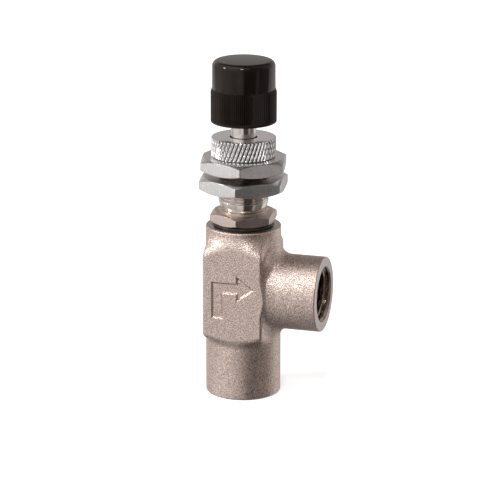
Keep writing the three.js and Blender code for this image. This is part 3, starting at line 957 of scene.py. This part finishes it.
def check_poppet():
    """The poppet: a nose, a flange, and a hub with cross holes out of its metering chamber."""
    low, high = box_mm("check_poppet")
    orifice, chamber, nose, flange, hub = 1.75, 2.3, 3.4, 5.2, 2.9
    flange_low, flange_high = 18.65, 20.15
    piece = turned("check_poppet_turned", [
        (orifice, low.z, 0.1), (nose, low.z, 0.15), (nose, flange_low, 0), (flange, flange_low, 0.06),
        (flange, flange_high, 0.15), (hub, flange_high, 0.1), (hub, high.z, 0.15),
        (orifice, high.z, 0.1), (orifice, 23, 0.05), (chamber, 22.5, 0.05), (chamber, 19, 0.05),
        (orifice, 18.5, 0.05),
    ])
    cross_hole, reach, height = 0.9, 6, flange_high + 1.2
    tools = []
    for angle in (0, math.pi / 2):
        way = Matrix.Rotation(angle, 4, "Z") @ along_x(0, height)
        tools.append(placed(drill(cross_hole, -reach, reach, 32), way))
    cut_away(piece, tools)
    return finish_piece(piece, ["check_poppet"], "poppet", "plain_brass", BRASS)


def poppet_seal():
    low, high = box_mm("poppet_seal")
    inner, outer = 3.5, 5.2
    piece = turned("poppet_seal_ring", [
        (inner, low.z, 0.1), (outer, low.z, 0.15), (outer, high.z, 0.1), (inner, high.z, 0.1),
    ])
    return finish_piece(piece, ["poppet_seal"], "poppet", "black_rubber", RUBBER)


def check_spring():
    """A coil spring with closed ends, built at one fixed length."""
    low, high = box_mm("check_spring")
    wire, radius, turns, closed = 0.34, 4.1, 5.5, 0.9
    sides, per_turn = 12, 40
    steps = int(turns * per_turn)
    bottom, top = low.z + wire, high.z - wire
    pitch_closed = 2 * wire
    end_rise = pitch_closed * closed
    vertices, faces = [], []
    for step in range(steps + 1):
        done = step / per_turn
        left = turns - done
        if done < closed:
            height = bottom + pitch_closed * done
        elif left < closed:
            height = top - pitch_closed * left
        else:
            share = (done - closed) / (turns - 2 * closed)
            height = bottom + end_rise + share * (top - bottom - 2 * end_rise)
        angle = TURN * done
        for side in range(sides):
            around = TURN * side / sides
            reach = radius + wire * math.cos(around)
            up = height + wire * math.sin(around)
            vertices.append((reach * math.cos(angle), reach * math.sin(angle), up))
    for step in range(steps):
        for side in range(sides):
            after = (side + 1) % sides
            a, b = step * sides + side, step * sides + after
            faces.append([a, a + sides, b + sides, b])
    faces.append(list(range(sides)))
    faces.append(list(range((steps + 1) * sides - 1, steps * sides - 1, -1)))
    piece = make_mesh("check_spring_coil", vertices, faces, 60)
    finish_piece(piece, ["check_spring"], "body", "spring_steel", STAINLESS)
    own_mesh(piece)
    return piece


def plain_rings():
    """The stop ring, the stem's wiper and the backup ring, each a ring with rounded edges."""
    rings = [
        ("stop_ring", "body", "stainless", STAINLESS, 2.2, 4.9, 0.1),
        ("stem_wiper", "body", "black_rubber", RUBBER, 3.06, 4.5, 0.3),
        ("stem_backup_ring", "stem_seals", "white_plastic", WHITE_PLASTIC, 2.91, 3.93, 0.08),
    ]
    for node, body, slot, material, inner, outer, edge in rings:
        low, high = box_mm(node)
        piece = turned(node + "_turned", [
            (inner, low.z, edge), (outer, low.z, edge), (outer, high.z, edge), (inner, high.z, edge),
        ])
        finish_piece(piece, [node], body, slot, material)


def lock_bush():
    """The cone that the lock ring presses onto the stem."""
    low, high = box_mm("lock_bush")
    inner, outer, cone_start = 3.1, 4.5, 60.5
    piece = turned("lock_bush_cone", [
        (inner, low.z, 0.1), (outer, low.z, 0.1), (outer, cone_start, 0.1),
        (outer - 0.5, high.z, 0.1), (inner, high.z, 0.1),
    ])
    return finish_piece(piece, ["lock_bush"], "body", "white_plastic", WHITE_PLASTIC)


def stem_o_ring():
    low, high = box_mm("stem_o_ring")
    half = (high.z - low.z) / 2
    middle, height = 3.42, (high.z + low.z) / 2
    section = np.array([
        (middle + half * math.cos(a), height + half * math.sin(a)) for a in even_angles(24)])
    piece = swept("stem_o_ring_moulded", lambda angle: section, even_angles(96))
    return finish_piece(piece, ["stem_o_ring"], "stem_seals", "black_rubber", RUBBER)


# ---- camera, floor and light -------------------------------------------------------------

CAMERA_TARGET = Vector((1.496, 0.441, 37.123)) * MM
CAMERA_DISTANCE = 584.5 * MM
CAMERA_AZIMUTH = math.radians(16.41)
CAMERA_ELEVATION = math.radians(16.45)
CAMERA_LENS = 176.27
CAMERA_ROLL = math.radians(0.15)
LIGHT_DISTANCE = 900 * MM


def bearing(azimuth, elevation):
    """The direction from the object to a place round it. Azimuth 0 is at -Y, and 90 at +X."""
    level = math.cos(elevation)
    return Vector((math.sin(azimuth) * level, -math.cos(azimuth) * level, math.sin(elevation)))


def make_camera():
    data = bpy.data.cameras.new("camera")
    data.lens = CAMERA_LENS
    data.sensor_width = 36.0
    data.clip_start = 0.01
    camera = bpy.data.objects.new("camera", data)
    back = bearing(CAMERA_AZIMUTH, CAMERA_ELEVATION)
    camera.location = CAMERA_TARGET + back * CAMERA_DISTANCE
    camera.rotation_mode = "QUATERNION"
    camera.rotation_quaternion = (-back).to_track_quat("-Z", "Y") @ Quaternion((0, 0, 1), CAMERA_ROLL)
    bpy.context.scene.collection.objects.link(camera)
    bpy.context.scene.camera = camera


def softbox(name, azimuth, elevation, width, height, watts):
    """A rectangular light that faces the object, with its sides in metres.

    Its azimuth is in degrees from the camera's.
    """
    data = bpy.data.lights.new(name, "AREA")
    data.shape = "RECTANGLE"
    data.size = width
    data.size_y = height
    data.energy = watts
    light = bpy.data.objects.new(name, data)
    away = bearing(CAMERA_AZIMUTH + math.radians(azimuth), math.radians(elevation))
    light.location = CAMERA_TARGET + away * LIGHT_DISTANCE
    light.rotation_mode = "QUATERNION"
    light.rotation_quaternion = away.to_track_quat("Z", "Y")
    bpy.context.scene.collection.objects.link(light)


def make_floor():
    """A white floor, which the glossy pieces don't mirror."""
    reach = 6000 * MM
    mesh = bpy.data.meshes.new("floor")
    corners = [(-reach, -reach, 0), (reach, -reach, 0), (reach, reach, 0), (-reach, reach, 0)]
    mesh.from_pydata(corners, [], [[0, 1, 2, 3]])
    floor = bpy.data.objects.new("floor", mesh)
    bpy.context.scene.collection.objects.link(floor)
    material = bpy.data.materials.new("floor_white")
    material.use_nodes = True
    shader = material.node_tree.nodes["Principled BSDF"]
    shader.inputs["Base Color"].default_value = (0.85, 0.85, 0.85, 1)
    shader.inputs["Roughness"].default_value = 0.9
    shader.inputs["Emission Color"].default_value = (1, 1, 1, 1)
    shader.inputs["Emission Strength"].default_value = 0.6
    floor.data.materials.append(material)
    floor.visible_glossy = False


# How bright the studio is all round the object, by bearing from the camera in degrees: first
# at and below the horizon, where a black card stands to the right of the camera, then overhead.
LOW_LIGHT = [
    (-180, 0.42), (-170, 0.46), (-156, 0.85), (-140, 0.72), (-118, 0.60), (-100, 1.02), (-84, 0.90),
    (-70, 0.96), (-52, 0.90), (-36, 0.72), (-15, 0.90), (-5, 0.78), (4, 0.04), (43, 0.08),
    (51, 0.56), (62, 0.20), (103, 0.24), (107, 1.0), (134, 0.95), (145, 0.62), (160, 0.46),
    (180, 0.42),
]
HIGH_LIGHT = [
    (-180, 0.12), (-155, 0.12), (-125, 0.9), (-70, 1.3), (-25, 1.1), (5, 0.25), (60, 0.2), (110, 0.6),
    (145, 0.12), (180, 0.12),
]
SHADE_TINT = (1.10, 1.0, 0.94)

# The heights between which the high light takes over, on a sphere of radius 1. Behind the
# object the backdrop carries the low light further up.
HORIZON = (-0.26, 0.34)
BACKDROP_HEIGHT = 0.55

# Light from straight below is dimmer. It fades between these heights.
UNDER_FLOOR = (-0.95, -0.35)
UNDER_FLOOR_SHADE = 0.4


def light_ramp(tree, bearing_share, stops):
    """A grey for each bearing. Dim greys are a little warm."""
    node = tree.nodes.new("ShaderNodeValToRGB")
    ramp = node.color_ramp
    for _ in stops[2:]:
        ramp.elements.new(0.5)
    for element, (angle, grey) in zip(ramp.elements, stops):
        element.position = angle / 360 + 0.5
        warmth = max(0.0, 1 - grey)
        element.color = [grey * (1 + (tint - 1) * warmth) for tint in SHADE_TINT] + [1]
    tree.links.new(bearing_share, node.inputs["Fac"])
    return node.outputs["Color"]


def make_world():
    """The studio's light: low bearings, then high ones above a soft horizon."""
    world = bpy.data.worlds.new("studio")
    world.use_nodes = True
    tree = world.node_tree
    link = tree.links.new
    coordinate = tree.nodes.new("ShaderNodeTexCoord")
    turn = tree.nodes.new("ShaderNodeVectorRotate")
    turn.rotation_type = "Z_AXIS"
    turn.inputs["Angle"].default_value = math.pi / 2 - CAMERA_AZIMUTH
    link(coordinate.outputs["Generated"], turn.inputs["Vector"])
    split = tree.nodes.new("ShaderNodeSeparateXYZ")
    link(turn.outputs[0], split.inputs[0])
    forward, side, up = split.outputs
    around = math_node(tree, "ARCTAN2", side, forward)
    share = math_node(tree, "MULTIPLY_ADD", around, 1 / TURN, 0.5)
    low = light_ramp(tree, share, LOW_LIGHT)
    high = light_ramp(tree, share, HIGH_LIGHT)
    behind = math_node(tree, "MINIMUM", forward, 0.0)
    height = math_node(tree, "MULTIPLY_ADD", behind, BACKDROP_HEIGHT, up)
    rise = map_range(tree, height, *HORIZON, kind="SMOOTHSTEP")
    shade = map_range(tree, up, *UNDER_FLOOR, low=UNDER_FLOOR_SHADE)
    floor_light = tree.nodes.new("ShaderNodeVectorMath")
    floor_light.operation = "SCALE"
    link(low, floor_light.inputs[0])
    link(shade, floor_light.inputs["Scale"])
    mix = tree.nodes.new("ShaderNodeMix")
    mix.data_type = "RGBA"
    link(rise, mix.inputs["Factor"])
    ends, mixed = colour_sockets(mix)
    link(floor_light.outputs[0], ends[0])
    link(high, ends[1])
    background = tree.nodes["Background"]
    background.inputs["Strength"].default_value = 1.0
    link(mixed, background.inputs["Color"])
    bpy.context.scene.world = world


def make_light():
    """The studio, a strip overhead, and two small lamps that the knob's top edge reflects."""
    make_world()
    softbox("overhead", -25, 62, 1.1, 0.25, 0.95)
    softbox("lamp_left", -83, 33, 0.12, 0.12, 2.0)
    softbox("lamp_front", -8.5, 46, 0.14, 0.12, 1.6)


# ---- the whole ---------------------------------------------------------------------------

make_camera()
valve_body()
bonnet()
bonnet_gasket()
panel_nut("panel_nut_lower_plated", "panel_nut_lower", "lower_nut", 36.1)
panel_nut("panel_nut_upper_plated", "panel_nut_upper", "upper_nut", 41.5)
lock_ring()
stem()
knob()
knob_insert()
knob_set_screw()
needle_tip()
seat_ring()
check_poppet()
poppet_seal()
check_spring()
plain_rings()
lock_bush()
stem_o_ring()
make_floor()
make_light()
bpy.context.scene.view_settings.view_transform = "Standard"
